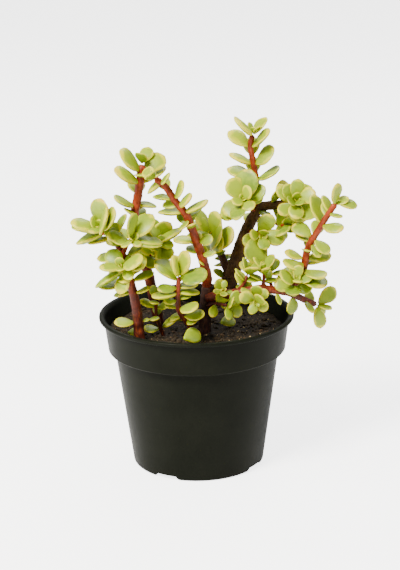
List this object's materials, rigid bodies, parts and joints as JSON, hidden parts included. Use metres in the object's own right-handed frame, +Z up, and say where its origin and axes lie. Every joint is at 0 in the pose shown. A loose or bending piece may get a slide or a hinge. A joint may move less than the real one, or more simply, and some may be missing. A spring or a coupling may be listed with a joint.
{
  "type": "potted elephant bush",
  "caption": "Small succulent bush with red stems and fleshy cream-edged leaves, rooted in potting soil in a round black plastic grower's pot.",
  "frame": {"origin": "middle of the pot's underside, on the surface that the pot stands on", "axes": "+Z up, -Y towards the front, +X to the right seen from the front"},
  "size_m": [0.1534, 0.108, 0.1949],
  "materials": {
    "pot_plastic": "satin",
    "potting_soil": "matte",
    "old_bark": "matte",
    "dark_bark": "matte",
    "red_bark": "satin",
    "leaf_flesh": "satin"
  },
  "bodies": {
    "root": {"pot": "pot_plastic", "soil": "potting_soil", "trunk": "dark_bark", "old_bough": "old_bark", "tall_stem": "red_bark", "diagonal_stem": "red_bark", "crossing_twig": "dark_bark", "level_bough": "red_bark", "right_stem": "red_bark", "left_stem": "red_bark", "back_stem": "red_bark", "front_shoot": "red_bark", "fallen_leaf_1": "leaf_flesh", "fallen_leaf_2": "leaf_flesh", "fallen_leaf_3": "leaf_flesh", "old_bough_tip": "leaf_flesh", "tall_stem_tip": "leaf_flesh", "tall_stem_leaves_1": "leaf_flesh", "tall_stem_leaves_2": "leaf_flesh", "face_rosette": "leaf_flesh", "elbow_rosette": "leaf_flesh", "right_underspray": "leaf_flesh", "end_rosette": "leaf_flesh", "diagonal_stem_tip": "leaf_flesh", "diagonal_stem_leaves_1": "leaf_flesh", "diagonal_stem_leaves_2": "leaf_flesh", "diagonal_stem_leaves_3": "leaf_flesh", "crossing_twig_tip": "leaf_flesh", "crossing_twig_leaves_1": "leaf_flesh", "level_bough_tip": "leaf_flesh", "level_tuft_1": "leaf_flesh", "level_tuft_2": "leaf_flesh", "level_tuft_3": "leaf_flesh", "level_tuft_4": "leaf_flesh", "level_tuft_5": "leaf_flesh", "fork_rosette": "leaf_flesh", "right_stem_tip": "leaf_flesh", "right_stem_leaves_1": "leaf_flesh", "right_stem_leaves_2": "leaf_flesh", "right_stem_leaves_3": "leaf_flesh", "right_stem_leaves_4": "leaf_flesh", "right_stem_leaves_5": "leaf_flesh", "right_stem_leaves_6": "leaf_flesh", "left_stem_tip": "leaf_flesh", "left_stem_leaves_1": "leaf_flesh", "left_stem_leaves_2": "leaf_flesh", "left_stem_leaves_3": "leaf_flesh", "outer_rosette": "leaf_flesh", "mid_rosette": "leaf_flesh", "low_rosette": "leaf_flesh", "back_stem_tip": "leaf_flesh", "back_stem_leaves_1": "leaf_flesh", "back_stem_leaves_2": "leaf_flesh", "inner_spray": "leaf_flesh", "inner_spray_low": "leaf_flesh", "front_shoot_tip": "leaf_flesh", "hidden_tuft": "leaf_flesh", "under_spray": "leaf_flesh"}
  },
  "joints": []
}
